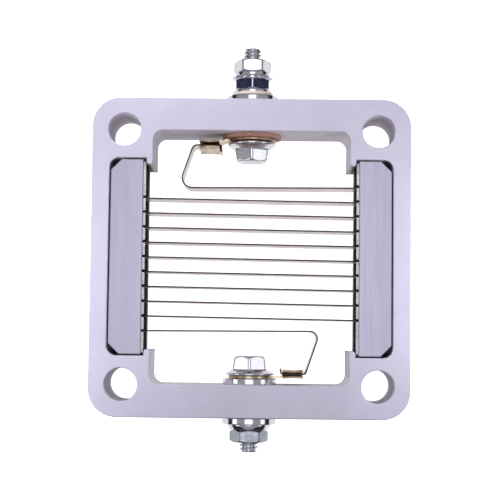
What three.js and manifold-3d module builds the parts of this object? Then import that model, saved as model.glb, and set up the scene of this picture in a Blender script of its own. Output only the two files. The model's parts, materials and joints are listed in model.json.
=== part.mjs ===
// Intake air heater: an aluminium spacer frame that bolts between an engine's air horn and its
// intake manifold, with one folded resistance ribbon held at both sides by sprung insulating combs
// and fed through two bolted terminals.
//
// Millimetres. The frame lies flat: its back (gasket) face is on Z = 0 and its front face looks
// along +Z. X runs across the ribbon's runs and +Y points from the ground terminal to the power
// terminal. The assembly's own frame is centred on the bolt pattern.
import * as THREE from "three";
import { mergeVertices } from "three/addons/utils/BufferGeometryUtils.js";
import Module from "manifold-3d";

const wasm = await Module();
wasm.setup();

// Frame
const FRAME_SIDE = 103.5;
const FRAME_DEPTH = 21.7;
const FRAME_CORNER_R = 9.2;
const BOLT_SPACING = 82.55;
const BOLT_HOLE_R = 5.35;
const WINDOW_HALF_X = 32;
const WINDOW_HALF_Y = 41.1;
const WINDOW_CORNER_R = 3.2;
const MID_Z = FRAME_DEPTH / 2;
const HALF_SIDE = FRAME_SIDE / 2;

// Side pockets that the holders drop into from the front, and the lips that keep them there
const POCKET_OUT_X = 46;
const POCKET_HALF_Y = 32;
const POCKET_CORNER_R = 3.2;
const POCKET_FLOOR = 1.5;
const LIP_IN_X = WINDOW_HALF_X;
const LIP_OUT_X = 34;
const LIP_TIP_Y = 29.9;
const LEDGE_X = 34.6;

// How far a cutter runs past what it cuts, and how far two shapes that become one run together
const OVER = 1;
const JOIN = 0.01;

// Holder channels
const HOLDER_IN_X = 35;
const HOLDER_OUT_X = 45.6;
const HOLDER_HALF_Y = 31.6;
const HOLDER_CHAMFER = 3.5;
const HOLDER_SHEET = 1;
const HOLDER_BACK_Z = POCKET_FLOOR + 0.3;
const HOLDER_FRONT_Z = FRAME_DEPTH - 0.3;

// Insulating combs and their liners
const COMB_IN_X = 34.6;
const COMB_OUT_X = 41.6;
const COMB_HALF_Y = 31;
const COMB_BACK_Z = 4;
const COMB_FRONT_Z = 19;
const LINER_IN_X = 34.3;
const LINER_SHEET = 0.9;
const LINER_GAP = 0.2;
const LINER_NOTCH_DEPTH = 0.9;

// Heating ribbon
const RIBBON_THICK = 0.5;
const RIBBON_WIDTH = 10;
const RUN_PITCH = 4.82;
const RUN_COUNT = 11;
const FIRST_RIGHT_Y = 23.42;
const SECOND_LEFT_Y = 19.4;
const BEND_X = 37;
const SLOT_CLEARANCE = 0.2;
const SLOT_Z_CLEARANCE = 0.3;
const APEX_CLEARANCE = 0.05;
const BEND_R = RUN_PITCH / 2;
const BEND_ARC_R = BEND_R * 0.999;
const RIBBON_BACK_Z = MID_Z - RIBBON_WIDTH / 2;
const INSULATOR_TRAVEL = 0.5;

// Wave springs
const SPRING_SHEET = 0.3;
const SPRING_WIDTH = 12;
const SPRING_HALF_Y = 27;
const SPRING_WAVES = 5;
const SPRING_CLEARANCE = 0.05;

// Terminal hardware, quarter inch with 20 threads to the inch
const STUD_R = 3.175;
const NUT_BORE_R = 3.26;
const WASHER_BORE_R = 3.5;
const HEX_FLATS = 11.1;
const HEX_CORNER_R = HEX_FLATS / Math.sqrt(3);
const HEX_FACE_R = HEX_FLATS * 0.475;
const HEX_SKIRT = 0.5;
const HEX_CHAMFER = Math.PI / 6;
const FACE_TO_FRONT = Math.PI / 6;
const STUD_TIP_CHAMFER = 0.7;
const STUD_ROOT = 0.5;
const POWER_BORE_R = 4.7;
const POWER_SLEEVE_R = 4.6;
const GROUND_BORE_R = 3.6;
const WIDE_WASHER_R = 8.75;

// Where the faces of each terminal's pieces stand, as distances from the bolt pattern's centre
// towards that terminal, and the pieces' outer radii
const POWER_AT = {
  headEnd: 32.1,
  headBase: 36.2,
  coneRim: 38.4,
  coneSeat: 38.85,
  lugOut: 39.75,
  wideWasherOut: 53.85,
  insulatorOut: 55.1,
  flatWasherOut: 55.9,
  fixingNutOut: 59.9,
  serratedWasherOut: 60.75,
  springWasherOut: 61.95,
  cableNutOut: 66.15,
  studEnd: 70.2,
};
const POWER_R = {
  cone: 7.9,
  lug: 8.05,
  innerInsulator: 9.7,
  outerInsulator: 6.8,
  flatWasher: 6.3,
  serratedWasher: 6.95,
  springWasher: 5.7,
};
const GROUND_AT = {
  headEnd: 31.8,
  headBase: 36.3,
  coneRim: 37.9,
  coneSeat: 38.3,
  lugOut: 39.15,
  wideWasherOut: 54,
  taperEdge: 54.4,
  taperWasherOut: 55.9,
  nutOut: 59.9,
  studEnd: 63.1,
};
const GROUND_R = { cone: 8, lug: 6.9, taperIn: 7, taperOut: 6.1 };
const GROUND_NUT_TURN = FACE_TO_FRONT + 0.06;

// Conical washers: their base and seat as shares of the rim's radius, and the rim's height
const CONE_BASE_SHARE = 0.74;
const CONE_SEAT_SHARE = 0.8;
const CONE_RIM_HEIGHT = 0.9;

// Lugs: each has a ring on the bolt, a tongue, and a flattened sleeve crimped on the ribbon's end
const SLEEVE_WALL = 0.75;
const SLEEVE_SLOT = 1.2;
const SLEEVE_HALF = SLEEVE_SLOT / 2 + SLEEVE_WALL;
const SLEEVE_FRONT_GAP = 0.4;
const POWER_CRIMP = { x0: -17.1, x1: -10.6, y: 37.2 };
const GROUND_CRIMP = { x0: 10.9, x1: 17.5, y: -37.6 };
const TONGUE_HALF_Z = 3.2;
const TONGUE_FROM_STUD = 1.5;
const TONGUE_PAST_RING = 0.4;
const TONGUE_LAP = { start: 0.2, end: 1.4 };

// Corners of the ribbon's leads, [x, y, bend radius]. Each lead's tab is bent over behind its lug.
const POWER_LEAD = [
  [-10, 34.9, 0],
  [-10, POWER_CRIMP.y, 0.6],
  [-19.2, POWER_CRIMP.y, 1.8],
  [-24.1, 23.05, 3.3],
];
const GROUND_LEAD = [
  [23, -23.6, 2.4],
  [18.2, GROUND_CRIMP.y, 0.9],
  [10.3, GROUND_CRIMP.y, 0.6],
  [10.2, -35.8, 0],
];

// The box of the whole part is centred on Y = 0.
const FRAME_Y = -(POWER_AT.studEnd - GROUND_AT.studEnd) / 2;

const ROUND = 32;
const BEND_STEPS = 10;

const assembly = new THREE.Group();
assembly.position.y = FRAME_Y;

// Materials -----------------------------------------------------------------------------------

function finish(color, roughness, metalness) {
  return () => new THREE.MeshStandardMaterial({ color, roughness, metalness });
}

const machinedAluminium = finish(0xd0ccdc, 0.45, 0.9);
const platedSheet = finish(0xbfbcd0, 0.4, 0.8);
const combCeramic = finish(0x17151b, 0.7, 0);
const micaSheet = finish(0xd8d6da, 0.75, 0);
const springSteel = finish(0x8c8c90, 0.35, 1);
const ribbonAlloy = finish(0x544846, 0.5, 0.8);
const zincPlate = finish(0xc9cbd6, 0.22, 1);
const darkZincPlate = finish(0x3a4060, 0.25, 1);
const brownFibre = finish(0x8a5f58, 0.6, 0);
const beigeFibre = finish(0xcdb9a6, 0.65, 0);
const brass = finish(0x9a7650, 0.35, 1);

function add(name, geometry, material, parent = assembly) {
  const mesh = new THREE.Mesh(geometry, material());
  mesh.name = name;
  parent.add(mesh);
  return mesh;
}

// Solids --------------------------------------------------------------------------------------

function solid(geometry) {
  const bare = geometry.index ? geometry.toNonIndexed() : geometry.clone();
  bare.deleteAttribute("normal");
  bare.deleteAttribute("uv");
  const merged = mergeVertices(bare, 1e-4);
  return new wasm.Manifold(
    new wasm.Mesh({
      numProp: 3,
      vertProperties: merged.attributes.position.array,
      triVerts: new Uint32Array(merged.index.array),
    }),
  );
}

function surface(body) {
  const mesh = body.getMesh();
  const geometry = new THREE.BufferGeometry();
  geometry.setAttribute("position", new THREE.BufferAttribute(mesh.vertProperties, 3));
  geometry.setIndex(new THREE.BufferAttribute(mesh.triVerts, 1));
  return geometry;
}

function box(x0, x1, y0, y1, z0, z1) {
  const geometry = new THREE.BoxGeometry(x1 - x0, y1 - y0, z1 - z0);
  geometry.translate((x0 + x1) / 2, (y0 + y1) / 2, (z0 + z1) / 2);
  return solid(geometry);
}

function prismGeometry(shape, z0, z1) {
  const geometry = new THREE.ExtrudeGeometry(shape, {
    depth: z1 - z0,
    bevelEnabled: false,
    curveSegments: BEND_STEPS,
  });
  geometry.translate(0, 0, z0);
  return geometry;
}

function prism(shape, z0, z1) {
  return solid(prismGeometry(shape, z0, z1));
}

function roundedRect(x0, x1, y0, y1, r) {
  const quarter = Math.PI / 2;
  const shape = new THREE.Shape();
  shape.absarc(x1 - r, y1 - r, r, 0, quarter);
  shape.absarc(x0 + r, y1 - r, r, quarter, 2 * quarter);
  shape.absarc(x0 + r, y0 + r, r, 2 * quarter, 3 * quarter);
  shape.absarc(x1 - r, y0 + r, r, 3 * quarter, 4 * quarter);
  shape.closePath();
  return shape;
}

// Two distances from the middle as rising coordinates on the given side of it.
function span(side, near, far) {
  return side > 0 ? [near, far] : [-far, -near];
}

// A cylinder along Z.
function post(x, y, r, z0, z1) {
  const geometry = new THREE.CylinderGeometry(r, r, z1 - z0, ROUND);
  geometry.rotateX(Math.PI / 2);
  geometry.translate(x, y, (z0 + z1) / 2);
  return solid(geometry);
}

// A body of revolution about the terminals' axis, which is parallel to Y at mid depth. The
// profile's points are [radius, y], counter-clockwise with the radius to the right.
function turned(profile) {
  const points = profile.map(([r, y]) => new THREE.Vector2(r, y));
  if (profile[0][0] > 0) points.push(points[0].clone());
  const geometry = new THREE.LatheGeometry(points, ROUND);
  geometry.translate(0, 0, MID_Z);
  return geometry;
}

// A plain cylinder on the terminals' axis.
function core(r, y0, y1) {
  return solid(turned([[0, y0], [r, y0], [r, y1], [0, y1]]));
}

function washer(dir, outerR, near, far, innerR = WASHER_BORE_R) {
  const [y0, y1] = span(dir, near, far);
  return turned([[innerR, y0], [outerR, y0], [outerR, y1], [innerR, y1]]);
}

// A hexagonal prism along Y whose corners are turned off at the chosen ends.
function hexBody(y0, y1, turn, chamferLow, chamferHigh) {
  const geometry = new THREE.CylinderGeometry(HEX_CORNER_R, HEX_CORNER_R, y1 - y0, 6);
  geometry.rotateY(turn);
  geometry.translate(0, (y0 + y1) / 2, MID_Z);
  const skirtR = HEX_CORNER_R + HEX_SKIRT;
  const drop = (skirtR - HEX_FACE_R) * Math.tan(HEX_CHAMFER);
  const profile = [[0, y0]];
  if (chamferLow) profile.push([HEX_FACE_R, y0], [skirtR, y0 + drop]);
  else profile.push([skirtR, y0]);
  if (chamferHigh) profile.push([skirtR, y1 - drop], [HEX_FACE_R, y1]);
  else profile.push([skirtR, y1]);
  profile.push([0, y1]);
  return solid(geometry).intersect(solid(turned(profile)));
}

function hexNut(dir, near, far, turn) {
  const [y0, y1] = span(dir, near, far);
  const bore = core(NUT_BORE_R, y0 - OVER, y1 + OVER);
  return surface(hexBody(y0, y1, turn, true, true).subtract(bore));
}

// A strip of even thickness along a polyline in the XY plane.
function stripShape(points, thickness) {
  const left = [];
  const right = [];
  points.forEach((point, i) => {
    const before = points[Math.max(i - 1, 0)];
    const after = points[Math.min(i + 1, points.length - 1)];
    const a = new THREE.Vector2().subVectors(point, i ? before : point).normalize();
    const b = new THREE.Vector2().subVectors(i < points.length - 1 ? after : point, point).normalize();
    const along = new THREE.Vector2().addVectors(a, b).normalize();
    const normal = new THREE.Vector2(-along.y, along.x);
    const straight = a.length() && b.length() ? Math.sqrt((1 + a.dot(b)) / 2) : 1;
    const reach = thickness / 2 / straight;
    left.push(point.clone().addScaledVector(normal, reach));
    right.unshift(point.clone().addScaledVector(normal, -reach));
  });
  return new THREE.Shape([...right, ...left]);
}

// A polyline through corners [x, y, radius], each rounded by an arc of its radius.
function roundedPath(corners) {
  const points = [];
  corners.forEach(([x, y, r], i) => {
    const corner = new THREE.Vector2(x, y);
    if (!r) {
      points.push(corner);
      return;
    }
    const into = new THREE.Vector2(x - corners[i - 1][0], y - corners[i - 1][1]).normalize();
    const away = new THREE.Vector2(corners[i + 1][0] - x, corners[i + 1][1] - y).normalize();
    const turn = Math.acos(into.dot(away));
    const side = Math.sign(into.cross(away));
    const start = corner.clone().addScaledVector(into, -r * Math.tan(turn / 2));
    const centre = start.clone().add(new THREE.Vector2(-into.y, into.x).multiplyScalar(side * r));
    const steps = Math.max(2, Math.round((turn / Math.PI) * BEND_STEPS));
    for (let k = 0; k <= steps; k++) {
      points.push(start.clone().rotateAround(centre, (side * turn * k) / steps));
    }
  });
  return points;
}

// Heights of the ribbon's runs, counted from 1 at the power side -------------------------------

function rightY(run) {
  return FIRST_RIGHT_Y - (run - 1) * RUN_PITCH;
}

function leftY(run) {
  return SECOND_LEFT_Y - (run - 2) * RUN_PITCH;
}

// Middle heights of the bends that each comb holds.
function bendCentres(heightOf, firstRun) {
  const centres = [];
  for (let run = firstRun; run < RUN_COUNT; run += 2) {
    centres.push((heightOf(run) + heightOf(run + 1)) / 2);
  }
  return centres;
}

// Frame ---------------------------------------------------------------------------------------

function windowShape() {
  return roundedRect(
    -WINDOW_HALF_X,
    WINDOW_HALF_X,
    -WINDOW_HALF_Y,
    WINDOW_HALF_Y,
    WINDOW_CORNER_R,
  );
}

// A side pocket with round outer corners and square inner ones.
function pocketCutter(side, top) {
  const [x0, x1] = span(side, LIP_OUT_X, POCKET_OUT_X);
  const [squareX0, squareX1] = span(side, LIP_OUT_X, LIP_OUT_X + POCKET_CORNER_R);
  const outline = roundedRect(x0, x1, -POCKET_HALF_Y, POCKET_HALF_Y, POCKET_CORNER_R);
  const square = box(squareX0, squareX1, -POCKET_HALF_Y, POCKET_HALF_Y, POCKET_FLOOR, top);
  return prism(outline, POCKET_FLOOR, top).add(square);
}

// What is cut off one lip's tip to leave it round.
function lipTipCutter(sideX, sideY, top) {
  const middleX = (sideX * (LIP_IN_X + LIP_OUT_X)) / 2;
  const r = (LIP_OUT_X - LIP_IN_X) / 2;
  const [y0, y1] = span(sideY, LIP_TIP_Y - JOIN, LIP_TIP_Y + r);
  const blank = box(middleX - r - JOIN, middleX + r + JOIN, y0, y1, POCKET_FLOOR, top);
  return blank.subtract(post(middleX, sideY * (LIP_TIP_Y + r), r, -OVER, top));
}

function frameBody() {
  const top = FRAME_DEPTH + OVER;
  const outline = roundedRect(-HALF_SIDE, HALF_SIDE, -HALF_SIDE, HALF_SIDE, FRAME_CORNER_R);
  let body = prism(outline, 0, FRAME_DEPTH);
  body = body.subtract(prism(windowShape(), -OVER, top));
  body = body.subtract(box(-LEDGE_X, LEDGE_X, -LIP_TIP_Y, LIP_TIP_Y, -OVER, top));
  const bolt = BOLT_SPACING / 2;
  for (const sx of [-1, 1]) {
    body = body.subtract(pocketCutter(sx, top));
    for (const sy of [-1, 1]) {
      body = body.subtract(lipTipCutter(sx, sy, top));
      body = body.subtract(post(sx * bolt, sy * bolt, BOLT_HOLE_R, -OVER, top));
    }
  }
  body = body.subtract(core(POWER_BORE_R, 0, HALF_SIDE + OVER));
  return body.subtract(core(GROUND_BORE_R, -HALF_SIDE - OVER, 0));
}

add("frame", surface(frameBody()), machinedAluminium);

// Holders, combs, liners and springs -----------------------------------------------------------
// Each is drawn for the right side. The left side is the same set, half a turn round.

function holderBody() {
  const outline = new THREE.Shape();
  const tip = HOLDER_HALF_Y - HOLDER_CHAMFER;
  const shoulder = HOLDER_OUT_X - HOLDER_CHAMFER;
  outline.moveTo(HOLDER_IN_X, -HOLDER_HALF_Y);
  outline.lineTo(shoulder, -HOLDER_HALF_Y);
  outline.lineTo(HOLDER_OUT_X, -tip);
  outline.lineTo(HOLDER_OUT_X, tip);
  outline.lineTo(shoulder, HOLDER_HALF_Y);
  outline.lineTo(HOLDER_IN_X, HOLDER_HALF_Y);
  outline.closePath();
  const inside = box(
    HOLDER_IN_X - OVER,
    HOLDER_OUT_X - HOLDER_SHEET,
    -HOLDER_HALF_Y - OVER,
    HOLDER_HALF_Y + OVER,
    HOLDER_BACK_Z + HOLDER_SHEET,
    HOLDER_FRONT_Z - HOLDER_SHEET,
  );
  return prism(outline, HOLDER_BACK_Z, HOLDER_FRONT_Z).subtract(inside);
}

// The pocket that one bend of the ribbon slides into: an outer U less the nose that it wraps.
function bendPocket(centreY) {
  const outerR = BEND_R + RIBBON_THICK / 2 + SLOT_CLEARANCE;
  const innerR = BEND_R - RIBBON_THICK / 2 - SLOT_CLEARANCE;
  const apexX = BEND_X + BEND_R + RIBBON_THICK / 2;
  const outerX = apexX + APEX_CLEARANCE - outerR;
  const noseX = apexX - RIBBON_THICK - INSULATOR_TRAVEL - SLOT_CLEARANCE - innerR;
  const z0 = RIBBON_BACK_Z - SLOT_Z_CLEARANCE;
  const z1 = RIBBON_BACK_Z + RIBBON_WIDTH + SLOT_Z_CLEARANCE;
  const mouthX = COMB_IN_X - OVER;
  const outer = new THREE.Shape();
  outer.moveTo(mouthX, centreY - outerR);
  outer.lineTo(outerX, centreY - outerR);
  outer.absarc(outerX, centreY, outerR, -Math.PI / 2, Math.PI / 2);
  outer.lineTo(mouthX, centreY + outerR);
  const nose = new THREE.Shape();
  nose.moveTo(mouthX - OVER, centreY - innerR);
  nose.lineTo(noseX, centreY - innerR);
  nose.absarc(noseX, centreY, innerR, -Math.PI / 2, Math.PI / 2);
  nose.lineTo(mouthX - OVER, centreY + innerR);
  return prism(outer, z0, z1).subtract(prism(nose, z0 - OVER, z1 + OVER));
}

function combBody(centres) {
  let body = box(COMB_IN_X, COMB_OUT_X, -COMB_HALF_Y, COMB_HALF_Y, COMB_BACK_Z, COMB_FRONT_Z);
  for (const centre of centres) body = body.subtract(bendPocket(centre));
  return body;
}

// A flat liner between the comb and a flange, notched where each run passes.
function linerBody(centres, z0) {
  const z1 = z0 + LINER_SHEET;
  let body = box(LINER_IN_X, COMB_OUT_X, -COMB_HALF_Y, COMB_HALF_Y, z0, z1);
  const halfNotch = RIBBON_THICK / 2 + SLOT_CLEARANCE;
  const mouthX = LINER_IN_X - OVER;
  const endX = LINER_IN_X + LINER_NOTCH_DEPTH;
  for (const centre of centres) {
    for (const y of [centre - BEND_R, centre + BEND_R]) {
      body = body.subtract(box(mouthX, endX, y - halfNotch, y + halfNotch, z0 - OVER, z1 + OVER));
    }
  }
  return body;
}

function springGeometry() {
  const inX = COMB_OUT_X + SPRING_CLEARANCE;
  const outX = HOLDER_OUT_X - HOLDER_SHEET - SPRING_CLEARANCE;
  const middleX = (inX + outX) / 2;
  const reach = (outX - inX - SPRING_SHEET) / 2;
  const steps = SPRING_WAVES * BEND_STEPS;
  const points = [];
  for (let k = 0; k <= steps; k++) {
    const y = -SPRING_HALF_Y + (2 * SPRING_HALF_Y * k) / steps;
    const phase = (2 * Math.PI * SPRING_WAVES * k) / steps;
    points.push(new THREE.Vector2(middleX + reach * Math.cos(phase), y));
  }
  const z0 = (HOLDER_BACK_Z + HOLDER_FRONT_Z - SPRING_WIDTH) / 2;
  return prismGeometry(stripShape(points, SPRING_SHEET), z0, z0 + SPRING_WIDTH);
}

function addSide(label, turn, centres) {
  const side = new THREE.Group();
  side.rotation.z = turn;
  assembly.add(side);
  const frontLinerZ = COMB_FRONT_Z + LINER_GAP;
  const rearLinerZ = COMB_BACK_Z - LINER_GAP - LINER_SHEET;
  add(`holder_${label}`, surface(holderBody()), platedSheet, side);
  add(`comb_${label}`, surface(combBody(centres)), combCeramic, side);
  add(`front_liner_${label}`, surface(linerBody(centres, frontLinerZ)), micaSheet, side);
  add(`rear_liner_${label}`, surface(linerBody(centres, rearLinerZ)), micaSheet, side);
  add(`wave_spring_${label}`, springGeometry(), springSteel, side);
}

addSide("right", 0, bendCentres(rightY, 1));
addSide("left", Math.PI, bendCentres(leftY, 2).map((y) => -y));

// Heating ribbon -------------------------------------------------------------------------------
// It comes from the power lug down a sloping lead, runs to and fro across the window, and goes out
// along a sloping lead to the ground lug.

function ribbonPath() {
  const corners = [...POWER_LEAD];
  for (let run = 1; run < RUN_COUNT; run++) {
    const side = run % 2 ? 1 : -1;
    const height = run % 2 ? rightY : leftY;
    const mouth = side * COMB_IN_X;
    const apex = side * (BEND_X + BEND_R);
    corners.push([mouth, height(run), 0]);
    corners.push([apex, height(run), BEND_ARC_R]);
    corners.push([apex, height(run + 1), BEND_ARC_R]);
    corners.push([mouth, height(run + 1), 0]);
  }
  return roundedPath([...corners, ...GROUND_LEAD]);
}

add(
  "heating_ribbon",
  prismGeometry(stripShape(ribbonPath(), RIBBON_THICK), RIBBON_BACK_Z, RIBBON_BACK_Z + RIBBON_WIDTH),
  ribbonAlloy,
);

// Terminals -----------------------------------------------------------------------------------

// A bolt whose head is inside the window. dir is 1 for the power side and -1 for the ground side.
function boltBody(dir, at) {
  const [y0, y1] = span(dir, at.headEnd, at.headBase);
  const head = hexBody(y0, y1, 0, dir > 0, dir < 0);
  const root = dir * (at.headBase - STUD_ROOT);
  const neck = dir * (at.studEnd - STUD_TIP_CHAMFER);
  const tip = dir * at.studEnd;
  const tipR = STUD_R - STUD_TIP_CHAMFER;
  const profile = [[0, root], [STUD_R, root], [STUD_R, neck], [tipR, tip], [0, tip]];
  if (dir < 0) profile.reverse();
  return surface(head.add(solid(turned(profile))));
}

function crimpBody(crimp) {
  const slotHalfZ = RIBBON_WIDTH / 2 + SLEEVE_FRONT_GAP;
  const halfZ = slotHalfZ + SLEEVE_WALL;
  const halfSlot = SLEEVE_SLOT / 2;
  const outer = box(
    crimp.x0,
    crimp.x1,
    crimp.y - SLEEVE_HALF,
    crimp.y + SLEEVE_HALF,
    MID_Z - halfZ,
    MID_Z + halfZ,
  );
  const slot = box(
    crimp.x0 - OVER,
    crimp.x1 + OVER,
    crimp.y - halfSlot,
    crimp.y + halfSlot,
    MID_Z - slotHalfZ,
    MID_Z + slotHalfZ,
  );
  return outer.subtract(slot);
}

function lugBody(dir, ringR, near, far, crimp) {
  const side = Math.sign(crimp.x0);
  const [y0, y1] = span(dir, near, far);
  const ringY = (y0 + y1) / 2;
  const nearX = side < 0 ? crimp.x1 : crimp.x0;
  const wallY = crimp.y + dir * (SLEEVE_HALF - SLEEVE_WALL / 2);
  const tongue = [
    new THREE.Vector2(side * (STUD_R + TONGUE_FROM_STUD), ringY),
    new THREE.Vector2(side * (ringR + TONGUE_PAST_RING), ringY),
    new THREE.Vector2(nearX + side * TONGUE_LAP.start, wallY),
    new THREE.Vector2(nearX + side * TONGUE_LAP.end, wallY),
  ];
  const strip = prism(stripShape(tongue, SLEEVE_WALL), MID_Z - TONGUE_HALF_Z, MID_Z + TONGUE_HALF_Z);
  const ring = solid(washer(dir, ringR, near, far, STUD_R)).add(strip);
  const bore = core(WASHER_BORE_R, y0 - OVER, y1 + OVER);
  return surface(ring.subtract(bore).add(crimpBody(crimp)));
}

// A shallow conical washer that sits under a bolt head, its rim away from the head.
function coneWasher(dir, rimR, at) {
  const profile = [
    [WASHER_BORE_R, dir * at.headBase],
    [rimR * CONE_BASE_SHARE, dir * at.headBase],
    [rimR, dir * (at.coneRim - CONE_RIM_HEIGHT)],
    [rimR, dir * at.coneRim],
    [rimR * CONE_SEAT_SHARE, dir * at.coneSeat],
    [WASHER_BORE_R, dir * at.coneSeat],
  ];
  if (dir < 0) profile.reverse();
  return turned(profile);
}

function taperWasher(at, r) {
  return turned([
    [WASHER_BORE_R, -at.taperWasherOut],
    [r.taperOut, -at.taperWasherOut],
    [r.taperIn, -at.taperEdge],
    [r.taperIn, -at.wideWasherOut],
    [WASHER_BORE_R, -at.wideWasherOut],
  ]);
}

function addPowerTerminal(at, r) {
  const lug = lugBody(1, r.lug, at.coneSeat, at.lugOut, POWER_CRIMP);
  const innerInsulator = washer(1, r.innerInsulator, at.lugOut, WINDOW_HALF_Y);
  const sleeve = washer(1, POWER_SLEEVE_R, WINDOW_HALF_Y, HALF_SIDE);
  const wideWasher = washer(1, WIDE_WASHER_R, HALF_SIDE, at.wideWasherOut);
  const outerInsulator = washer(1, r.outerInsulator, at.wideWasherOut, at.insulatorOut);
  const flatWasher = washer(1, r.flatWasher, at.insulatorOut, at.flatWasherOut);
  const serratedWasher = washer(1, r.serratedWasher, at.fixingNutOut, at.serratedWasherOut);
  const springWasher = washer(1, r.springWasher, at.serratedWasherOut, at.springWasherOut);
  add("power_bolt", boltBody(1, at), zincPlate);
  add("power_cone_washer", coneWasher(1, r.cone, at), zincPlate);
  add("power_lug", lug, brass);
  add("power_inner_insulator", innerInsulator, brownFibre);
  add("power_sleeve", sleeve, brownFibre);
  add("power_wide_washer", wideWasher, zincPlate);
  add("power_outer_insulator", outerInsulator, beigeFibre);
  add("power_flat_washer", flatWasher, zincPlate);
  add("power_fixing_nut", hexNut(1, at.flatWasherOut, at.fixingNutOut, 0), darkZincPlate);
  add("power_serrated_washer", serratedWasher, zincPlate);
  add("power_spring_washer", springWasher, zincPlate);
  add("power_cable_nut", hexNut(1, at.springWasherOut, at.cableNutOut, FACE_TO_FRONT), zincPlate);
}

function addGroundTerminal(at, r) {
  const lug = lugBody(-1, r.lug, at.coneSeat, at.lugOut, GROUND_CRIMP);
  const innerWasher = washer(-1, WIDE_WASHER_R, at.lugOut, WINDOW_HALF_Y);
  const wideWasher = washer(-1, WIDE_WASHER_R, HALF_SIDE, at.wideWasherOut);
  add("ground_bolt", boltBody(-1, at), zincPlate);
  add("ground_cone_washer", coneWasher(-1, r.cone, at), zincPlate);
  add("ground_lug", lug, brass);
  add("ground_inner_washer", innerWasher, zincPlate);
  add("ground_wide_washer", wideWasher, zincPlate);
  add("ground_taper_washer", taperWasher(at, r), zincPlate);
  add("ground_nut", hexNut(-1, at.taperWasherOut, at.nutOut, GROUND_NUT_TURN), zincPlate);
}

addPowerTerminal(POWER_AT, POWER_R);
addGroundTerminal(GROUND_AT, GROUND_R);

const airHeater = new THREE.Group();
airHeater.add(assembly);

export default airHeater;
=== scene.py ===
import json
import math

import bmesh
import bpy
from mathutils import Euler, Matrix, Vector


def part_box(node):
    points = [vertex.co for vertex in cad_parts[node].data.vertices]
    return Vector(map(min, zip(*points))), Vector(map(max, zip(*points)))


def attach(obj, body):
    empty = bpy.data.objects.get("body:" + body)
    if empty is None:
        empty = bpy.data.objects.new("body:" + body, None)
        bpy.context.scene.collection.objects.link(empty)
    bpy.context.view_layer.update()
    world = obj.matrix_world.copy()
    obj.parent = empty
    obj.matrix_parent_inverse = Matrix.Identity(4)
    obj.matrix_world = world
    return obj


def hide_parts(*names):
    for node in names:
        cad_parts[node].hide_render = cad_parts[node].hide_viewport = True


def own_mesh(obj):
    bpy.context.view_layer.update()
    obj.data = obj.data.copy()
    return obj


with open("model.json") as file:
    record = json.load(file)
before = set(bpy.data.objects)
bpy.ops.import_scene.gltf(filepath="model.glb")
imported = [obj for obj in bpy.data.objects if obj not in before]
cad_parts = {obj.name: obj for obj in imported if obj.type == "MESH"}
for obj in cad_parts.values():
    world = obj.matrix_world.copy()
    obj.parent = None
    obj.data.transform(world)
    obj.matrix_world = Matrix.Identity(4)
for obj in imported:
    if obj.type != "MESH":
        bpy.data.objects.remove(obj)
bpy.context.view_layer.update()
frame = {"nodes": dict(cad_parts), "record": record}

MM = 0.001
RECORD = frame["record"]
BODY_OF = {node: body for body, nodes in RECORD["behaviour"]["bodies"].items() for node in nodes}

FRAME_LOW, FRAME_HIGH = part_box("frame")
MID_Z = (FRAME_LOW.z + FRAME_HIGH.z) / 2
PATTERN_Y = (FRAME_LOW.y + FRAME_HIGH.y) / 2
FRONT_Z = FRAME_HIGH.z

# The frame's four bolt holes are the corners of a square with this side
BOLT_HOLE_SPACING = 82.55 * MM

# Quarter inch hardware with 20 threads to the inch
STUD_R = 3.175 * MM
THREAD_ROOT_R = 2.4 * MM
PITCH = 1.27 * MM
HEX_FLATS = 11.1 * MM
NUT_BORE_R = 3.26 * MM
NUT_CORNER_SHARE = 0.985
HEAD_CORNER_SHARE = 0.97
WASHER_BORE_R = 3.5 * MM

# What a washer's end keeps from the nut that turns against it
CONTACT_GAP = 0.02 * MM

# How far a stud's thread starts inside its head
STUD_OVERLAP = 0.2 * MM

# Turn of a hexagon about the terminals' axis, from a corner at the front
CORNER_TO_FRONT = 0
FACE_TO_FRONT = math.pi / 6
GROUND_NUT_TURN = FACE_TO_FRONT + 0.06

# Shares of a thread's pitch from its crest: where the crest, flank and root begin and end
CREST_END = 0.05
FLANK_START = 0.09
FLANK_END = 0.36
ROOT_START = 0.41
THREAD_ROUNDING = 0.07

# Lugs
LUG_SHEET = 0.7 * MM
CRIMP_HALF_Y = 1.35 * MM
TONGUE_HALF_Z = 3.2 * MM

# Camera: its place in its own axes from the middle of the bolt pattern on the front face
LENS = 92.9
CAMERA_TILT = (4.01, 0.39, 0.63)
CAMERA_OFFSET = Vector((-0.14, 2.31, 415.77)) * MM

# Studio: heights at which the tent starts and is full, as sines of the elevation, and the
# brightness of the dark room below it and of the tent
TENT_EDGE = (0.2, 0.34)
ROOM_LIGHT = 0.03
TENT_LIGHT = 0.33

# How far the light table and the white floor are under the part
TABLE_DROP = 0.2 * MM
FLOOR_DROP = 0.4 * MM

# Softboxes: name, place, target, width, height, brightness, and whether metal mirrors it
SOFTBOXES = (
    ("softbox_overhead", (0, 0.04, 0.7), (0, PATTERN_Y, 0), 0.4, 0.44, 1.15, True),
    ("softbox_left", (-0.15, -0.058, 0.093), (0, -0.058, 0.013), 0.124, 0.06, 1.1, True),
    ("softbox_right", (0.15, -0.035, 0.095), (0, -0.035, 0.013), 0.14, 0.06, 0.82, True),
    ("fill_left", (-0.1, -0.02, 0.07), (-0.05, -0.02, 0.02), 0.07, 0.05, 7, False),
    ("fill_right", (0.1, -0.01, 0.07), (0.05, -0.01, 0.02), 0.07, 0.05, 8, False),
    ("fill_power_side", (-0.04, 0.13, 0.09), (-0.04, 0.05, 0.02), 0.1, 0.05, 12, False),
    ("light_table", (0, PATTERN_Y, -TABLE_DROP), (0, PATTERN_Y, 1), 0.22, 0.15, 0.8, True),
)

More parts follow.
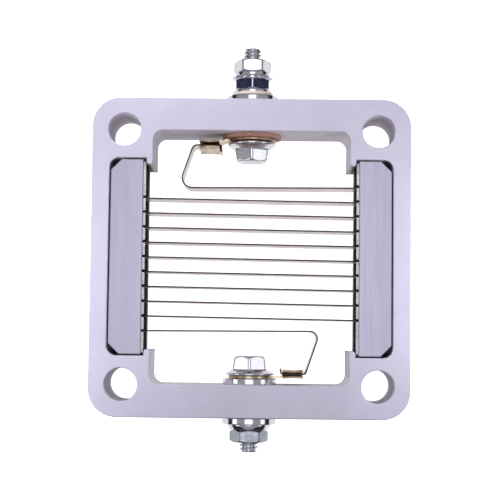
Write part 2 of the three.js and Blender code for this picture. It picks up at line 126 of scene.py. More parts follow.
# Mesh detail and tolerances
COLUMNS = 144
THREAD_COLUMNS = 72

# Degrees: faces blend under the smooth angles, edges over the sharp angle are rounded, and faces
# under the flat angle are joined
SMOOTH_ANGLE = 38
THREAD_SMOOTH_ANGLE = 50
SHARP_ANGLE = 30
FLAT_ANGLE = 0.5

MERGE_DISTANCE = 1e-7
CAD_MERGE_DISTANCE = 1e-6
LEVEL_TOLERANCE = 0.001 * MM


# Mesh helpers ----------------------------------------------------------------------------------


def new_object(name, bm, smooth_angle=SMOOTH_ANGLE):
    """An object from a bmesh, with outward faces, smooth under an angle and weighted normals."""
    bmesh.ops.remove_doubles(bm, verts=bm.verts, dist=MERGE_DISTANCE)
    bmesh.ops.recalc_face_normals(bm, faces=bm.faces)
    mesh = bpy.data.meshes.new(name)
    bm.to_mesh(mesh)
    bm.free()
    mesh.polygons.foreach_set("use_smooth", [True] * len(mesh.polygons))
    mesh.set_sharp_from_angle(angle=math.radians(smooth_angle))
    obj = bpy.data.objects.new(name, mesh)
    bpy.context.scene.collection.objects.link(obj)
    weighted = obj.modifiers.new("weighted_normals", "WEIGHTED_NORMAL")
    weighted.keep_sharp = True
    return obj


def stand_for(obj, node, material):
    """obj takes the place of a CAD node: its body and a material."""
    obj.data.materials.append(material)
    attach(obj, BODY_OF[node])
    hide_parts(node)
    return obj


def fillet(profile, radius, closed, steps=4):
    """The profile with each corner rounded by a short curve. Every corner gives steps + 1 points."""
    count = len(profile)
    points = []
    for i, (px, py) in enumerate(profile):
        if not closed and i in (0, count - 1):
            points.append((px, py))
            continue
        here = Vector((px, py))
        back = Vector(profile[i - 1]) - here
        on = Vector(profile[(i + 1) % count]) - here
        reach = min(radius, 0.45 * back.length, 0.45 * on.length)
        start = here + back.normalized() * reach
        end = here + on.normalized() * reach
        for k in range(steps + 1):
            t = k / steps
            point = start * (1 - t) ** 2 + here * 2 * t * (1 - t) + end * t**2
            points.append((point.x, point.y))
    return points


def axis_point(r, y, angle):
    """A point at radius r about the terminals' axis; angle 0 faces the front."""
    return (r * math.sin(angle), y, MID_Z + r * math.cos(angle))


def skin_rows(bm, rows, closed_profile, closed_rows=True):
    """Quads between neighbouring rows of vertices."""
    count = len(rows[0])
    last = len(rows) if closed_rows else len(rows) - 1
    for c in range(last):
        near, far = rows[c], rows[(c + 1) % len(rows)]
        for i in range(count if closed_profile else count - 1):
            j = (i + 1) % count
            bm.faces.new((near[i], near[j], far[j], far[i]))


def turned(bm, section, closed):
    """A body about the terminals' axis. section(angle) gives its [(radius, y), ...] there."""
    rows = []
    for c in range(COLUMNS):
        angle = 2 * math.pi * c / COLUMNS
        rows.append([bm.verts.new(axis_point(r, y, angle)) for r, y in section(angle)])
    skin_rows(bm, rows, closed)


def hex_radius(angle, flats, vertex_angle, corner_share):
    """Distance from the axis to a hexagon's side, its corners slightly flattened."""
    third = math.pi / 3
    from_face = (angle - vertex_angle) % third - third / 2
    side = flats / 2 / math.cos(from_face)
    return min(side, corner_share * flats / math.sqrt(3))


def ends(node, direction):
    """A node's near and far faces along the terminal's axis, near the middle first."""
    low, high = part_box(node)
    return (low.y, high.y) if direction > 0 else (high.y, low.y)


def outer_radius(node):
    low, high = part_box(node)
    return (high.x - low.x) / 2


# Copies of CAD solids --------------------------------------------------------------------------


def lies_at(edge, axis, level):
    """Whether both ends of an edge are at a level along an axis."""
    return all(abs(vertex.co[axis] - level) < LEVEL_TOLERANCE for vertex in edge.verts)


def second_finish(obj, material, chosen):
    """Gives the faces that chosen(polygon) picks another material."""
    obj.data.materials.append(material)
    index = len(obj.data.materials) - 1
    for polygon in obj.data.polygons:
        if chosen(polygon):
            polygon.material_index = index


def joined_solid(node, cuts=()):
    """A CAD node's solid with its triangles joined into faces. The faces stay divided at each x in
    cuts, so that no face goes all the way round a hole."""
    bm = bmesh.new()
    bm.from_mesh(frame["nodes"][node].data)
    bmesh.ops.remove_doubles(bm, verts=bm.verts, dist=CAD_MERGE_DISTANCE)
    for x in cuts:
        everything = bm.verts[:] + bm.edges[:] + bm.faces[:]
        bmesh.ops.bisect_plane(
            bm, geom=everything, dist=LEVEL_TOLERANCE, plane_co=(x, 0, 0), plane_no=(1, 0, 0)
        )
    inner = [e for e in bm.edges if not any(lies_at(e, 0, x) for x in cuts)]
    flat = math.radians(FLAT_ANGLE)
    bmesh.ops.dissolve_limit(bm, angle_limit=flat, verts=bm.verts, edges=inner)
    return bm


def rounded_copy(node, radius, segments=2, levels=None, cuts=()):
    """A CAD node's solid with its sharp edges rounded, or only those that lie at one of the heights
    in levels."""
    bm = joined_solid(node, cuts)
    limit = math.radians(SHARP_ANGLE)
    sharp = [e for e in bm.edges if e.is_manifold and e.calc_face_angle() > limit]
    if levels:
        sharp = [e for e in sharp if any(lies_at(e, 2, z) for z in levels)]
    bmesh.ops.bevel(
        bm,
        geom=sharp,
        offset=radius,
        segments=segments,
        profile=0.5,
        affect="EDGES",
        clamp_overlap=False,
    )
    return new_object(node + "_fine", bm)


# Materials -------------------------------------------------------------------------------------


class Finish:
    """A Principled material with its node tree, and shorthands for its textures."""

    def __init__(self, name, metallic, roughness, specular=0.5):
        self.material = bpy.data.materials.new(name)
        self.material.use_nodes = True
        self.tree = self.material.node_tree
        self.shader = self.tree.nodes["Principled BSDF"]
        self.shader.inputs["Metallic"].default_value = metallic
        self.shader.inputs["Roughness"].default_value = roughness
        self.shader.inputs["Specular IOR Level"].default_value = specular
        self.place = self.tree.nodes.new("ShaderNodeTexCoord").outputs["Object"]
        self.height = None

    def stretched(self, scale):
        """Object coordinates scaled by (x, y, z)."""
        mapping = self.tree.nodes.new("ShaderNodeMapping")
        mapping.inputs["Scale"].default_value = scale
        self.tree.links.new(self.place, mapping.inputs["Vector"])
        return mapping.outputs["Vector"]

    def noise(self, scale, detail=4, roughness=0.55, stretch=None):
        node = self.tree.nodes.new("ShaderNodeTexNoise")
        node.inputs["Scale"].default_value = scale
        node.inputs["Detail"].default_value = detail
        node.inputs["Roughness"].default_value = roughness
        source = self.stretched(stretch) if stretch else self.place
        self.tree.links.new(source, node.inputs["Vector"])
        return node.outputs["Fac"]

    def cells(self, scale):
        node = self.tree.nodes.new("ShaderNodeTexVoronoi")
        node.inputs["Scale"].default_value = scale
        self.tree.links.new(self.place, node.inputs["Vector"])
        return node.outputs["Distance"]

    def colours(self, factor, stops):
        """Base colour from a ramp of (position, (r, g, b)) stops."""
        ramp = self.tree.nodes.new("ShaderNodeValToRGB")
        elements = ramp.color_ramp.elements
        while len(elements) < len(stops):
            elements.new(0.5)
        for element, (position, colour) in zip(elements, stops):
            element.position = position
            element.color = (*colour, 1)
        self.tree.links.new(factor, ramp.inputs["Fac"])
        self.tree.links.new(ramp.outputs["Color"], self.shader.inputs["Base Color"])

    def roughness_between(self, factor, low, high):
        span = self.tree.nodes.new("ShaderNodeMapRange")
        span.inputs["From Min"].default_value = 0.3
        span.inputs["From Max"].default_value = 0.7
        span.inputs["To Min"].default_value = low
        span.inputs["To Max"].default_value = high
        self.tree.links.new(factor, span.inputs["Value"])
        self.tree.links.new(span.outputs["Result"], self.shader.inputs["Roughness"])

    def bump(self, factor, depth, strength):
        """Adds a layer of relief, depth in metres."""
        node = self.tree.nodes.new("ShaderNodeBump")
        node.inputs["Distance"].default_value = depth
        node.inputs["Strength"].default_value = strength
        self.tree.links.new(factor, node.inputs["Height"])
        if self.height is not None:
            self.tree.links.new(self.height, node.inputs["Normal"])
        self.height = node.outputs["Normal"]
        self.tree.links.new(self.height, self.shader.inputs["Normal"])


def frame_aluminium():
    finish = Finish("tumbled_aluminium", 0.35, 0.5)
    patches = finish.noise(55, detail=6)
    finish.colours(patches, [(0.3, (0.475, 0.455, 0.57)), (0.7, (0.52, 0.5, 0.625))])
    finish.roughness_between(finish.noise(260), 0.45, 0.56)
    finish.bump(finish.noise(2600, detail=3), 0.00003, 0.5)
    finish.bump(finish.noise(420, detail=5), 0.00005, 0.35)
    return finish.material


def cast_aluminium():
    """The frame's walls, left as cast: duller and grainier than its machined faces."""
    finish = Finish("cast_aluminium", 0.4, 0.7, specular=0.2)
    grain = finish.noise(900, detail=6)
    finish.colours(grain, [(0.3, (0.52, 0.485, 0.54)), (0.7, (0.68, 0.64, 0.71))])
    finish.roughness_between(grain, 0.62, 0.8)
    finish.bump(grain, 0.00012, 0.6)
    finish.bump(finish.noise(150, detail=3), 0.0001, 0.3)
    return finish.material


def holder_sheet():
    finish = Finish("satin_sheet", 1.0, 0.36)
    streaks = finish.noise(1, detail=5, stretch=(1800, 45, 1800))
    finish.colours(streaks, [(0.3, (0.5, 0.48, 0.62)), (0.7, (0.56, 0.535, 0.68))])
    finish.roughness_between(streaks, 0.32, 0.42)
    finish.bump(streaks, 0.00002, 0.35)
    return finish.material


def comb_ceramic():
    # The comb is near black and almost without shine under any light.
    finish = Finish("near_black_comb", 0.0, 0.8, specular=0.03)
    grain = finish.noise(2200, detail=5)
    finish.colours(grain, [(0.35, (0.002, 0.002, 0.003)), (0.7, (0.008, 0.007, 0.01))])
    finish.roughness_between(grain, 0.75, 0.9)
    finish.bump(grain, 0.00006, 0.6)
    return finish.material


def liner_mica():
    finish = Finish("pressed_mica", 0.0, 0.5)
    flecks = finish.cells(900)
    finish.colours(flecks, [(0.1, (0.62, 0.6, 0.62)), (0.5, (0.8, 0.78, 0.8)), (0.9, (0.52, 0.5, 0.5))])
    finish.roughness_between(flecks, 0.35, 0.6)
    finish.bump(finish.noise(1500), 0.00003, 0.4)
    return finish.material


def spring_steel():
    finish = Finish("blued_spring_steel", 1.0, 0.3)
    streaks = finish.noise(1, stretch=(900, 120, 2500))
    finish.colours(streaks, [(0.3, (0.36, 0.36, 0.4)), (0.7, (0.5, 0.5, 0.53))])
    finish.roughness_between(streaks, 0.24, 0.38)
    finish.bump(streaks, 0.00001, 0.3)
    return finish.material


def ribbon_alloy():
    """The ribbon's rolled faces, with a faint heat tint."""
    finish = Finish("rolled_ribbon", 1.0, 0.3)
    tint = finish.noise(140, detail=6)
    finish.colours(
        tint,
        [(0.3, (0.66, 0.56, 0.55)), (0.5, (0.76, 0.68, 0.67)), (0.7, (0.82, 0.76, 0.76))],
    )
    finish.roughness_between(finish.noise(600), 0.24, 0.38)
    finish.bump(finish.noise(1, stretch=(120, 120, 3200)), 0.00001, 0.3)
    return finish.material


def ribbon_edge():
    """The ribbon's slit edges, dark with oxide."""
    finish = Finish("oxidised_ribbon_edge", 0.2, 0.6, specular=0.2)
    tint = finish.noise(300, detail=6)
    finish.colours(
        tint,
        [(0.3, (0.035, 0.025, 0.027)), (0.5, (0.06, 0.045, 0.045)), (0.7, (0.11, 0.08, 0.08))],
    )
    finish.roughness_between(finish.noise(900), 0.5, 0.72)
    finish.bump(finish.noise(2400), 0.00002, 0.5)
    return finish.material


def plated(name, low, high, roughness, grain_depth):
    """Electroplated steel: a slightly uneven mirror."""
    finish = Finish(name, 1.0, roughness)
    finish.colours(finish.noise(330, detail=3), [(0.3, low), (0.7, high)])
    finish.roughness_between(finish.noise(900), 0.7 * roughness, 1.4 * roughness)
    finish.bump(finish.noise(420, detail=2), grain_depth, 0.3)
    return finish.material


def fibre(name, low, high):
    finish = Finish(name, 0.0, 0.6)
    weave = finish.noise(1, detail=5, stretch=(1300, 4200, 1300))
    finish.colours(weave, [(0.3, low), (0.7, high)])
    finish.roughness_between(weave, 0.5, 0.72)
    finish.bump(weave, 0.00005, 0.6)
    return finish.material


def lug_brass():
    finish = Finish("tarnished_brass", 1.0, 0.3)
    tarnish = finish.noise(380, detail=6)
    finish.colours(
        tarnish,
        [(0.3, (0.3, 0.2, 0.11)), (0.5, (0.62, 0.46, 0.3)), (0.7, (0.8, 0.68, 0.58))],
    )
    finish.roughness_between(tarnish, 0.42, 0.2)
    finish.bump(finish.noise(1400), 0.00002, 0.4)
    return finish.material


ALUMINIUM = frame_aluminium()
SHEET = holder_sheet()
CERAMIC = comb_ceramic()
MICA = liner_mica()
SPRING = spring_steel()
RIBBON = ribbon_alloy()
RIBBON_EDGE = ribbon_edge()
CAST = cast_aluminium()
ZINC = plated("bright_zinc", (0.78, 0.78, 0.86), (0.88, 0.88, 0.92), 0.1, 0.000006)
FROSTED_ZINC = plated("frosted_zinc", (0.34, 0.36, 0.43), (0.5, 0.52, 0.6), 0.26, 0.00006)
# Painted reflection: the fixing nut is plain zinc, and its dark blue colour paints the dark room that
# it mirrors.
ZINC_PAINTED_DARK_REFLECTION = plated("zinc_painted_dark_reflection", (0.055, 0.063, 0.13), (0.12, 0.13, 0.25), 0.2, 0.00001)
BROWN_FIBRE = fibre("brown_fibre", (0.22, 0.11, 0.09), (0.42, 0.24, 0.2))
BEIGE_FIBRE = fibre("beige_fibre", (0.55, 0.47, 0.39), (0.72, 0.64, 0.56))
BRASS = lug_brass()


# Frame, holders, combs, liners, springs and ribbon ---------------------------------------------


def build_frame():
    hole_x = BOLT_HOLE_SPACING / 2
    flats = (FRAME_LOW.z, FRONT_Z)
    cuts = (-hole_x, 0, hole_x)
    copy = rounded_copy("frame", radius=0.35 * MM, segments=3, levels=flats, cuts=cuts)
    obj = stand_for(copy, "frame", ALUMINIUM)
    second_finish(obj, CAST, lambda polygon: abs(polygon.normal.z) < 0.2)


def build_side(label):
    """A side pocket's holder, comb, liners and spring; the spring gets a mesh of its own."""
    holder = rounded_copy("holder_" + label, radius=0.3 * MM, segments=3)
    stand_for(holder, "holder_" + label, SHEET)
    comb = rounded_copy("comb_" + label, radius=0.12 * MM)
    stand_for(comb, "comb_" + label, CERAMIC)
    for liner in ("front_liner_", "rear_liner_"):
        stand_for(rounded_copy(liner + label, radius=0.08 * MM), liner + label, MICA)
    node = "wave_spring_" + label
    spring = stand_for(rounded_copy(node, radius=0.05 * MM), node, SPRING)
    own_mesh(spring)


def build_ribbon():
    """The ribbon keeps its square edges, because rounding them distorts the mesh at the bends."""
    copy = new_object("heating_ribbon_fine", joined_solid("heating_ribbon"))
    obj = stand_for(copy, "heating_ribbon", RIBBON)
    second_finish(obj, RIBBON_EDGE, lambda polygon: abs(polygon.normal.z) > 0.5)


# Washers ---------------------------------------------------------------------------------------


def washer_profile(y0, y1, inner, outer, radius):
    return fillet([(inner, y0), (outer, y0), (outer, y1), (inner, y1)], radius, closed=True)


def build_washer(node, material, rounding):
    """A plain washer, or a sleeve, with rounded rims."""
    low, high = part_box(node)
    profile = washer_profile(low.y, high.y, WASHER_BORE_R, outer_radius(node), rounding)
    bm = bmesh.new()
    turned(bm, lambda angle: profile, closed=True)
    stand_for(new_object(node + "_fine", bm), node, material)


def build_cone_washer(node, direction):
    """A conical washer: flat under the head, flaring to a rounded rim, dished towards the lug."""
    near, far = ends(node, direction)
    rim = outer_radius(node)
    depth = far - near
    profile = [
        (WASHER_BORE_R, near),
        (0.74 * rim, near),
        (0.93 * rim, near + 0.42 * depth),
        (rim, near + 0.6 * depth),
        (rim, near + 0.84 * depth),
        (0.8 * rim, far),
        (WASHER_BORE_R, far),
    ]
    smooth = fillet(profile, 0.3 * MM, closed=True)
    bm = bmesh.new()
    turned(bm, lambda angle: smooth, closed=True)
    stand_for(new_object(node + "_fine", bm), node, ZINC)


def build_taper_washer(node):
    """The loose washer under the ground nut: a short cylinder with a tapered outer edge. It ends
    just short of the nut that turns against it."""
    near, far = ends(node, -1)
    far += CONTACT_GAP
    outer = outer_radius(node)
    depth = far - near
    profile = [
        (WASHER_BORE_R, near),
        (outer, near),
        (outer, near + 0.24 * depth),
        (0.87 * outer, far),
        (WASHER_BORE_R, far),
    ]
    smooth = fillet(profile, 0.18 * MM, closed=True)
    bm = bmesh.new()
    turned(bm, lambda angle: smooth, closed=True)
    stand_for(new_object(node + "_fine", bm), node, ZINC)


def build_spring_washer(node):
    """A split lock washer: a square section wound once, with a slanted gap at the back."""
    low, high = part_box(node)
    gap = math.radians(7)
    gap_at = math.radians(200)
    lift = 0.16 * MM
    slant = math.radians(5)
    outer = outer_radius(node)
    bm = bmesh.new()
    rows = []
    for c in range(COLUMNS + 1):
        share = c / COLUMNS
        rise = lift * share
        y0, y1 = low.y + rise, high.y - lift + rise
        profile = washer_profile(y0, y1, WASHER_BORE_R, outer, 0.15 * MM)
        row = []
        for r, y in profile:
            lean = slant * (y - low.y) / (high.y - low.y)
            angle = gap_at + gap + lean + (2 * math.pi - 2 * gap) * share
            row.append(bm.verts.new(axis_point(r, y, angle)))
        rows.append(row)
    skin_rows(bm, rows, closed_profile=True, closed_rows=False)
    bm.faces.new(rows[0])
    bm.faces.new(reversed(rows[-1]))
    stand_for(new_object(node + "_fine", bm), node, ZINC)


def add_tooth(bm, middle, half_angle, inner, outer, y, half, twist):
    """One twisted tooth of a serrated washer."""
    corners = []
    for r, share in ((inner, 0.25), (outer, 1.0)):
        for side in (-1, 1):
            for face in (-1, 1):
                offset = y + face * half * 0.6 + side * twist * share
                point = axis_point(r, offset, middle + side * half_angle)
                corners.append(bm.verts.new(point))
    quads = ((0, 1, 3, 2), (4, 6, 7, 5), (0, 4, 5, 1), (2, 3, 7, 6), (0, 2, 6, 4), (1, 5, 7, 3))
    for quad in quads:
        bm.faces.new([corners[i] for i in quad])


def build_serrated_washer(node):
    """A lock washer with twisted teeth round its outer edge."""
    teeth = 16
    low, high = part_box(node)
    outer = outer_radius(node)
    web = 0.76 * outer
    tooth_inner = 0.95 * web
    tooth_outer = 0.995 * outer
    half_angle = 0.34 * 2 * math.pi / teeth
    middle_y = (low.y + high.y) / 2
    half = (high.y - low.y) / 2
    profile = washer_profile(low.y, high.y, WASHER_BORE_R, web, 0.12 * MM)
    bm = bmesh.new()
    turned(bm, lambda angle: profile, closed=True)
    for k in range(teeth):
        angle = 2 * math.pi * (k + 0.5) / teeth
        twist = 0.55 * half
        add_tooth(bm, angle, half_angle, tooth_inner, tooth_outer, middle_y, 0.7 * half, twist)
    stand_for(new_object(node + "_fine", bm), node, ZINC)


# Nuts and bolts --------------------------------------------------------------------------------


def nut_section(y0, y1, vertex_angle):
    """A nut's section at each angle: sides cut by a 30 degree chamfer at both ends."""
    face_r = 0.475 * HEX_FLATS
    slope = math.tan(math.radians(30))
    sink = 0.3 * MM

    def section(angle):
        r = hex_radius(angle, HEX_FLATS, vertex_angle, NUT_CORNER_SHARE)
        drop = (r - face_r) * slope
        profile = [
            (NUT_BORE_R + sink, y0),
            (face_r, y0),
            (r, y0 + drop),
            (r, y1 - drop),
            (face_r, y1),
            (NUT_BORE_R + sink, y1),
            (NUT_BORE_R, y1 - sink),
            (NUT_BORE_R, y0 + sink),
        ]
        return fillet(profile, 0.1 * MM, closed=True, steps=2)

    return section


def build_nut(node, vertex_angle, material):
    low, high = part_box(node)
    bm = bmesh.new()
    turned(bm, nut_section(low.y, high.y, vertex_angle), closed=True)
    return stand_for(new_object(node + "_fine", bm), node, material)


def painted_highlight_face(polygon, vertex_angle):
    """Whether a nut's face is one of its chamfers, or lies along a corner: these faces get bright zinc
    as a painted highlight.
    """
    angle = math.atan2(polygon.center.x, polygon.center.z - MID_Z) - vertex_angle
    third = math.pi / 3
    off_corner = abs((angle + third / 2) % third - third / 2)
    inner_limit = 0.4 * HEX_FLATS
    highlight_strip = math.radians(1.6)
    outside = math.hypot(polygon.center.x, polygon.center.z - MID_Z) > inner_limit
    chamfer = 0.2 < abs(polygon.normal.y) < 0.95
    return outside and (chamfer or off_corner < highlight_strip)


def thread_radius(phase):
    """Radius of a 60 degree thread at a share of its pitch from the crest, crest and root rounded."""
    depth = STUD_R - THREAD_ROOT_R
    rounded = THREAD_ROUNDING * depth
    away = abs(phase - round(phase))
    if away <= CREST_END:
        return STUD_R
    if away >= ROOT_START:
        return THREAD_ROOT_R
    if away < FLANK_START:
        return STUD_R - rounded * (away - CREST_END) / (FLANK_START - CREST_END)
    if away > FLANK_END:
        return THREAD_ROOT_R + rounded * (ROOT_START - away) / (ROOT_START - FLANK_END)
    along = (away - FLANK_START) / (FLANK_END - FLANK_START)
    return STUD_R - rounded - (depth - 2 * rounded) * along


def thread_phases():
    """Where one turn of the thread has points, as shares of its pitch from the crest."""
    flank_middle = (FLANK_START + FLANK_END) / 2
    rising = (CREST_END, FLANK_START, flank_middle, FLANK_END, ROOT_START)
    return (0, *rising, 0.5, *(1 - phase for phase in reversed(rising)))


def add_thread(bm, y0, y1, tip_direction):
    """A right-handed threaded rod between two heights, chamfered at its tip, capped at both ends."""
    columns = THREAD_COLUMNS
    phases = thread_phases()
    per_turn = len(phases)
    turns = math.ceil((y1 - y0) / PITCH) + 2
    tip_y = y1 if tip_direction > 0 else y0
    tip_r = STUD_R - 0.7 * MM
    rows = []
    for c in range(columns):
        share = c / columns
        row = []
        for j in range(turns * per_turn):
            helix = PITCH * (j // per_turn + phases[j % per_turn] + share - 1)
            y = min(max(y0 + helix, y0), y1)
            r = thread_radius((y - y0) / PITCH - share)
            r = min(r, tip_r + abs(tip_y - y))
            row.append(bm.verts.new(axis_point(r, y, 2 * math.pi * share)))
        rows.append(row)
    count = len(rows[0])
    for c in range(columns):
        shift = per_turn if c == columns - 1 else 0
        near, far = rows[c], rows[(c + 1) % columns]
        for i in range(count - 1):
            a, b = min(i + shift, count - 1), min(i + 1 + shift, count - 1)
            if a != b:
                bm.faces.new((near[i], near[i + 1], far[b], far[a]))
    for row_end, y in ((0, y0), (-1, y1)):
        middle = bm.verts.new(axis_point(0, y, 0))
        for c in range(columns):
            bm.faces.new((rows[c][row_end], rows[(c + 1) % columns][row_end], middle))


def head_section(end, base):
    """An indented hexagon head: tapered sides, a chamfered end and a shallow dish in it."""
    height = abs(base - end)
    toward = 1 if base > end else -1
    end_flats = 0.89 * HEX_FLATS
    face_r = 0.42 * HEX_FLATS
    dish_r = 0.33 * HEX_FLATS
    dish_depth = 0.5 * MM
    slope = math.tan(math.radians(34))

    def section(angle):
        end_r = hex_radius(angle, end_flats, CORNER_TO_FRONT, HEAD_CORNER_SHARE)
        base_r = hex_radius(angle, HEX_FLATS, CORNER_TO_FRONT, HEAD_CORNER_SHARE)
        drop = (end_r - face_r) * slope
        side_r = end_r + (base_r - end_r) * drop / height
        profile = [
            (0, end + toward * dish_depth),
            (0.8 * dish_r, end + toward * dish_depth),
            (dish_r, end),
            (face_r, end),
            (side_r, end + toward * drop),
            (base_r, base),
            (0, base),
        ]
        return fillet(profile, 0.3 * MM, closed=False, steps=3)

    return section


def build_bolt(node, direction, head_base):
    """The bolt whose head is inside the window: head and threaded stud."""
    head_end, stud_end = ends(node, direction)
    bm = bmesh.new()
    turned(bm, head_section(head_end, head_base), closed=False)
    root = head_base - direction * STUD_OVERLAP
    add_thread(bm, min(root, stud_end), max(root, stud_end), direction)
    stand_for(new_object(node + "_fine", bm, THREAD_SMOOTH_ANGLE), node, ZINC)


# Lugs ------------------------------------------------------------------------------------------


def add_strip(bm, path, half_z, thickness):
    """A bent strip of sheet: path is its middle line in the XY plane."""
    rows = []
    for i, point in enumerate(path):
        before = path[max(i - 1, 0)]
        after = path[min(i + 1, len(path) - 1)]
        along = (Vector(after) - Vector(before)).normalized()
        across = Vector((-along.y, along.x)) * thickness / 2
        low, high = Vector(point) - across, Vector(point) + across
        section = [
            (low.x, low.y, MID_Z - half_z),
            (high.x, high.y, MID_Z - half_z),
            (high.x, high.y, MID_Z + half_z),
            (low.x, low.y, MID_Z + half_z),
        ]
        rows.append([bm.verts.new(corner) for corner in section])
    skin_rows(bm, rows, closed_profile=True, closed_rows=False)
    bm.faces.new(rows[0])
    bm.faces.new(reversed(rows[-1]))


def add_crimp(bm, x0, x1, y, half_z):
    """The barrel folded round the ribbon's end: open at the front, pinched at its middle."""
    half_y = CRIMP_HALF_Y
    wall = LUG_SHEET
    inner_y = half_y - wall
    back = MID_Z - half_z
    front = MID_Z + half_z
    section = [
        (-half_y, front),
        (-half_y, back),
        (half_y, back),
        (half_y, front),
        (inner_y, front),
        (inner_y, back + wall),
        (-inner_y, back + wall),
        (-inner_y, front),
    ]
    section = fillet(section, 0.32 * MM, closed=True, steps=3)
    steps = 24
    pinch = 0.18 * MM
    rows = []
    for k in range(steps + 1):
        share = k / steps
        squeeze = pinch * math.sin(math.pi * share) ** 2
        row = []
        for side, z in section:
            narrowed = math.copysign(max(abs(side) - squeeze, 0), side)
            row.append(bm.verts.new((x0 + (x1 - x0) * share, y + narrowed, z)))
        rows.append(row)
    skin_rows(bm, rows, closed_profile=True, closed_rows=False)
    bm.faces.new(rows[0])
    bm.faces.new(reversed(rows[-1]))


def build_lug(node, direction, crimp_side, ring_r, ring_near, ring_far, crimp_length):
    """Ring on the bolt, tongue, and the barrel crimped on the ribbon's end."""
    low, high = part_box(node)
    crimp_x = (low.x, low.x + crimp_length) if crimp_side < 0 else (high.x - crimp_length, high.x)
    crimp_y = low.y + CRIMP_HALF_Y if direction > 0 else high.y - CRIMP_HALF_Y
    near_x = crimp_x[1] if crimp_side < 0 else crimp_x[0]
    bm = bmesh.new()
    ring = washer_profile(*sorted((ring_near, ring_far)), WASHER_BORE_R, ring_r, 0.2 * MM)
    turned(bm, lambda angle: ring, closed=True)
    ring_y = (ring_near + ring_far) / 2
    wall_y = crimp_y + direction * (CRIMP_HALF_Y - LUG_SHEET / 2)
    tongue = [
        (crimp_side * (ring_r - 1.5 * MM), ring_y),
        (crimp_side * (ring_r + 0.4 * MM), ring_y),
        (near_x, wall_y),
        (near_x + crimp_side * 1.2 * MM, wall_y),
    ]
    bent_tongue = fillet(tongue, 0.9 * MM, closed=False, steps=6)
    add_strip(bm, bent_tongue, TONGUE_HALF_Z, LUG_SHEET)
    add_crimp(bm, *crimp_x, crimp_y, high.z - MID_Z)
    stand_for(new_object(node + "_fine", bm), node, BRASS)


# Terminals -------------------------------------------------------------------------------------


def build_power_terminal():
    head_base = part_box("power_cone_washer")[0].y
    build_bolt("power_bolt", 1, head_base)
    build_cone_washer("power_cone_washer", 1)
    ring_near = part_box("power_cone_washer")[1].y
    ring_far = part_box("power_inner_insulator")[0].y
    build_lug("power_lug", 1, -1, 8.05 * MM, ring_near, ring_far, crimp_length=6.5 * MM)
    build_washer("power_inner_insulator", BROWN_FIBRE, rounding=0.2 * MM)
    build_washer("power_sleeve", BROWN_FIBRE, rounding=0.1 * MM)
    build_washer("power_wide_washer", ZINC, rounding=0.5 * MM)
    build_washer("power_outer_insulator", BEIGE_FIBRE, rounding=0.2 * MM)
    build_washer("power_flat_washer", ZINC, rounding=0.15 * MM)
    # The fixing nut's dark blue is a painted reflection of the dark room round it.
    fixing_nut = build_nut("power_fixing_nut", CORNER_TO_FRONT, ZINC_PAINTED_DARK_REFLECTION)
    # Painted highlight: bright zinc on the fixing nut's chamfers and corners.
    second_finish(fixing_nut, ZINC, lambda polygon: painted_highlight_face(polygon, CORNER_TO_FRONT))
    build_serrated_washer("power_serrated_washer")
    build_spring_washer("power_spring_washer")
    build_nut("power_cable_nut", FACE_TO_FRONT, ZINC)


def build_ground_terminal():
    head_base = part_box("ground_cone_washer")[1].y
    build_bolt("ground_bolt", -1, head_base)
    build_cone_washer("ground_cone_washer", -1)
    ring_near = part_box("ground_cone_washer")[0].y
    ring_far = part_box("ground_inner_washer")[1].y
    build_lug("ground_lug", -1, 1, 6.9 * MM, ring_near, ring_far, crimp_length=6.6 * MM)
    build_washer("ground_inner_washer", ZINC, rounding=0.3 * MM)
    build_washer("ground_wide_washer", ZINC, rounding=0.4 * MM)
    build_taper_washer("ground_taper_washer")
    build_nut("ground_nut", GROUND_NUT_TURN, FROSTED_ZINC)


build_frame()
build_side("left")
build_side("right")
build_ribbon()
build_power_terminal()
build_ground_terminal()


# Floor, light and camera -----------------------------------------------------------------------


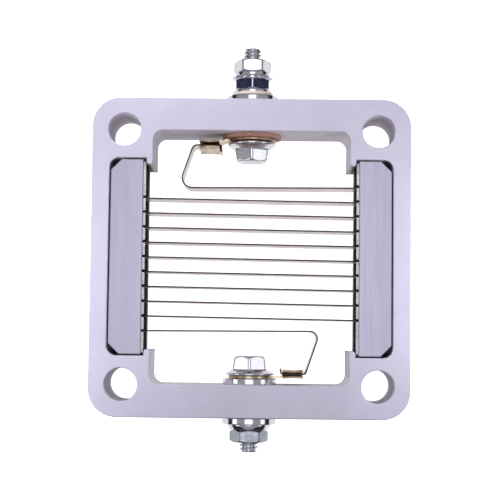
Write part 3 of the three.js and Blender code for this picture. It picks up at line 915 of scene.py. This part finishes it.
def build_floor():
    """A plain white floor. What the metal mirrors is the light table, not this sheet."""
    bm = bmesh.new()
    bmesh.ops.create_grid(bm, x_segments=1, y_segments=1, size=3)
    floor = new_object("floor", bm)
    floor.location.z = -FLOOR_DROP
    finish = Finish("white_floor", 0.0, 0.9)
    finish.shader.inputs["Base Color"].default_value = (0.9, 0.9, 0.9, 1)
    finish.shader.inputs["Emission Color"].default_value = (1, 1, 1, 1)
    finish.shader.inputs["Emission Strength"].default_value = 1
    floor.data.materials.append(finish.material)
    floor.visible_diffuse = False
    floor.visible_glossy = False


def add_softbox(name, place, target, width, height, radiance, mirrored):
    """A rectangular light of a given brightness that faces its target."""
    data = bpy.data.lights.new(name, "AREA")
    data.shape = "RECTANGLE"
    data.size = width
    data.size_y = height
    data.energy = radiance * math.pi * width * height
    light = bpy.data.objects.new(name, data)
    light.location = place
    light.rotation_euler = (Vector(target) - Vector(place)).to_track_quat("-Z", "Y").to_euler()
    light.visible_camera = False
    light.visible_glossy = mirrored
    bpy.context.scene.collection.objects.link(light)


def build_tent():
    """A pale tent overhead that ends above the horizon, where the room is dark."""
    world = bpy.data.worlds.new("studio")
    world.use_nodes = True
    tree = world.node_tree
    background = tree.nodes["Background"]
    background.inputs["Color"].default_value = (0.95, 0.95, 1.0, 1)
    place = tree.nodes.new("ShaderNodeTexCoord")
    split = tree.nodes.new("ShaderNodeSeparateXYZ")
    level = tree.nodes.new("ShaderNodeMapRange")
    level.inputs["From Min"].default_value = TENT_EDGE[0]
    level.inputs["From Max"].default_value = TENT_EDGE[1]
    level.inputs["To Min"].default_value = ROOM_LIGHT
    level.inputs["To Max"].default_value = TENT_LIGHT
    tree.links.new(place.outputs["Generated"], split.inputs["Vector"])
    tree.links.new(split.outputs["Z"], level.inputs["Value"])
    tree.links.new(level.outputs["Result"], background.inputs["Strength"])
    bpy.context.scene.world = world


def build_lights():
    build_tent()
    for softbox in SOFTBOXES:
        add_softbox(*softbox)


def build_camera():
    data = bpy.data.cameras.new("camera")
    data.lens = LENS
    data.clip_start = 0.01
    camera = bpy.data.objects.new("camera", data)
    rotation = Euler([math.radians(a) for a in CAMERA_TILT], "ZYX").to_matrix()
    camera.rotation_euler = rotation.to_euler()
    camera.location = Vector((0, PATTERN_Y, FRONT_Z)) + rotation @ CAMERA_OFFSET
    bpy.context.scene.collection.objects.link(camera)
    bpy.context.scene.camera = camera


build_floor()
build_lights()
build_camera()
bpy.context.scene.view_settings.view_transform = "Standard"

bpy.context.view_layer.update()
